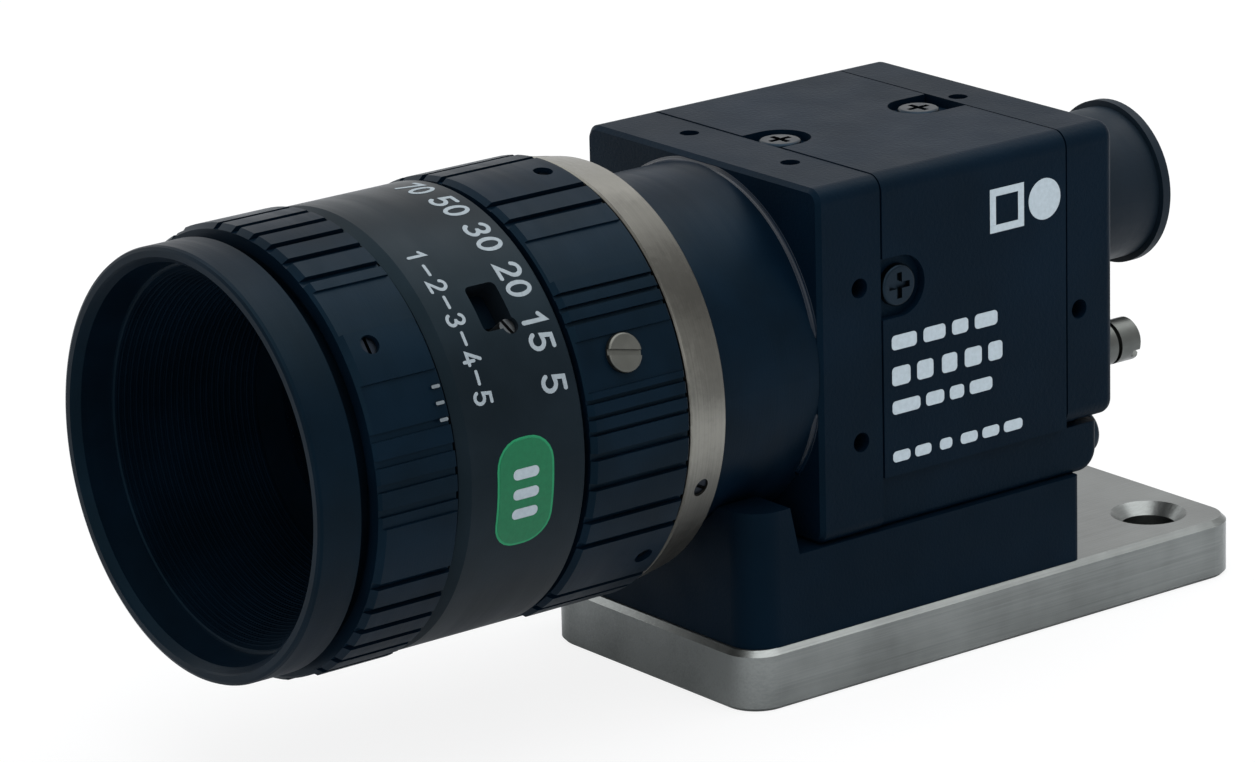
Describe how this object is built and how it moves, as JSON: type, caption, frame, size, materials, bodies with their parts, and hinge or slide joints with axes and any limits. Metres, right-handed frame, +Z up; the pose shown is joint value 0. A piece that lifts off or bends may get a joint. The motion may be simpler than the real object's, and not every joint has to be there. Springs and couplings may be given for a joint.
{
  "type": "machine vision camera",
  "caption": "Compact industrial camera with a manual focus and iris lens, stepped front hood, and a mounting base on a steel plate.",
  "frame": {"origin": "on the steel plate's underside, straight below the optical axis, at the plane of the camera body's front face", "axes": "+Z up, +Y to the rear along the optical axis (the lens looks along -Y), +X to the side that carries the print"},
  "size_m": [0.0354, 0.0947, 0.044],
  "materials": {
    "base_black": "black anodised, fine blasted",
    "bezel_black": "black anodised, satin",
    "board_plastic": "black moulded plastic",
    "body_black": "black paint over cast aluminium",
    "cap_black": "black vinyl",
    "circuit_board": "green solder mask with soldered chips",
    "clear_glass": "optical glass",
    "coated_glass": "coated optical glass",
    "collar_bright": "satin nickel-coloured anodised, turned",
    "connector_metal": "nickel plate",
    "contact_gold": "gold-plated contacts",
    "cover_paint": "black fine textured paint over aluminium sheet",
    "dark_sleeve": "blackened and greased",
    "drive_screw": "bright steel",
    "filter_glass": "infrared-cut coated glass",
    "insert_black": "black moulded insulator",
    "iris_black": "blackened spring steel",
    "lens_black": "black anodised, turned",
    "nose_black": "black anodised, turned",
    "plate_steel": "ground steel, satin grey",
    "ring_steel": "nickel-plated steel",
    "screw_black": "black oxide",
    "screw_steel": "machined steel",
    "sensor_package": "ceramic package with a silicon die",
    "spacer_brass": "nickel-free turned brass"
  },
  "bodies": {
    "camera": {"base_plate": "plate_steel", "base_screws": "screw_black", "board_screws": "screw_steel", "board_spacers": "spacer_brass", "bottom_chassis": "body_black", "chassis_screws": "screw_black", "collar_screws": "screw_black", "connector_nut": "connector_metal", "cover_screws": "screw_black", "filter_frame": "board_plastic", "fixed_barrel": "lens_black", "front_housing": "body_black", "guide_pin": "ring_steel", "image_sensor": "sensor_package", "infrared_filter": "filter_glass", "interface_board": "circuit_board", "interface_connector": "connector_metal", "interface_insert": "insert_black", "jackscrews": "ring_steel", "lens_flange": "lens_black", "main_board": "circuit_board", "mount_barrel": "nose_black", "mount_collar": "collar_bright", "mount_thread_ring": "ring_steel", "mounting_base": "base_black", "plate_screws": "screw_steel", "rear_housing": "body_black", "rear_screws": "screw_black", "round_connector": "connector_metal", "round_insert": "insert_black", "round_pins": "contact_gold", "sensor_board": "circuit_board", "sensor_window": "clear_glass", "wrap_cover": "cover_paint"},
    "focus": {"focus_ring": "lens_black", "focus_set_screws": "screw_black", "helicoid_sleeve": "dark_sleeve"},
    "optical_unit": {"front_bezel": "bezel_black", "lens_cell": "lens_black", "front_element": "coated_glass", "front_retainer": "lens_black", "second_element": "clear_glass", "inner_retainer": "lens_black", "iris_base_plate": "iris_black", "rear_cell": "lens_black", "middle_element": "clear_glass", "rear_spacer": "lens_black", "rear_element": "clear_glass", "rear_retainer": "lens_black"},
    "iris": {"iris_ring": "lens_black", "iris_set_screws": "screw_black", "iris_drive_screw": "drive_screw"},
    "iris_drive": {"iris_cam_ring": "spacer_brass"},
    "cap": {"connector_cap": "cap_black"},
    "blade_1": {"iris_blade_1": "iris_black"},
    "blade_2": {"iris_blade_2": "iris_black"},
    "blade_3": {"iris_blade_3": "iris_black"},
    "blade_4": {"iris_blade_4": "iris_black"},
    "blade_5": {"iris_blade_5": "iris_black"},
    "blade_6": {"iris_blade_6": "iris_black"}
  },
  "joints": [
    {"name": "focus_turn", "type": "hinge", "parent": "camera", "child": "focus", "pos_m": [0, -0.04081, 0.0263], "axis": [0, 1, 0], "range_deg": [-90, 90]},
    {"name": "focus_slide", "type": "slide", "parent": "camera", "child": "optical_unit", "axis": [0, -1, 0], "range_m": [-0.001, 0.001]},
    {"name": "iris_turn", "type": "hinge", "parent": "camera", "child": "iris", "pos_m": [0, -0.02011, 0.0263], "axis": [0, 1, 0], "range_deg": [0, 45]},
    {"name": "cam_ring_turn", "type": "hinge", "parent": "optical_unit", "child": "iris_drive", "pos_m": [0, -0.02281, 0.0263], "axis": [0, 1, 0], "range_deg": [0, 45]},
    {"name": "blade_1_swing", "type": "hinge", "parent": "optical_unit", "child": "blade_1", "pos_m": [0.0041, -0.02481, 0.03758], "axis": [0, 1, 0], "range_deg": [0, 30.4]},
    {"name": "blade_2_swing", "type": "hinge", "parent": "optical_unit", "child": "blade_2", "pos_m": [0.01182, -0.02481, 0.02838], "axis": [0, 1, 0], "range_deg": [0, 30.4]},
    {"name": "blade_3_swing", "type": "hinge", "parent": "optical_unit", "child": "blade_3", "pos_m": [0.00771, -0.02481, 0.01711], "axis": [0, 1, 0], "range_deg": [0, 30.4]},
    {"name": "blade_4_swing", "type": "hinge", "parent": "optical_unit", "child": "blade_4", "pos_m": [-0.0041, -0.02481, 0.01502], "axis": [0, 1, 0], "range_deg": [0, 30.4]},
    {"name": "blade_5_swing", "type": "hinge", "parent": "optical_unit", "child": "blade_5", "pos_m": [-0.01182, -0.02481, 0.02422], "axis": [0, 1, 0], "range_deg": [0, 30.4]},
    {"name": "blade_6_swing", "type": "hinge", "parent": "optical_unit", "child": "blade_6", "pos_m": [-0.00771, -0.02481, 0.03549], "axis": [0, 1, 0], "range_deg": [0, 30.4]},
    {"name": "cap_pull", "type": "slide", "parent": "camera", "child": "cap", "axis": [0, 1, 0], "range_m": [0, 0.012]}
  ],
  "couplings": [
    {"joint": "focus_turn", "follows": "focus_slide", "rad_per_m": 1570.8},
    {"joint": "cam_ring_turn", "follows": "iris_turn", "ratio": 1},
    {"joint": "blade_1_swing", "follows": "iris_turn", "ratio": 0.67556},
    {"joint": "blade_2_swing", "follows": "iris_turn", "ratio": 0.67556},
    {"joint": "blade_3_swing", "follows": "iris_turn", "ratio": 0.67556},
    {"joint": "blade_4_swing", "follows": "iris_turn", "ratio": 0.67556},
    {"joint": "blade_5_swing", "follows": "iris_turn", "ratio": 0.67556},
    {"joint": "blade_6_swing", "follows": "iris_turn", "ratio": 0.67556}
  ]
}
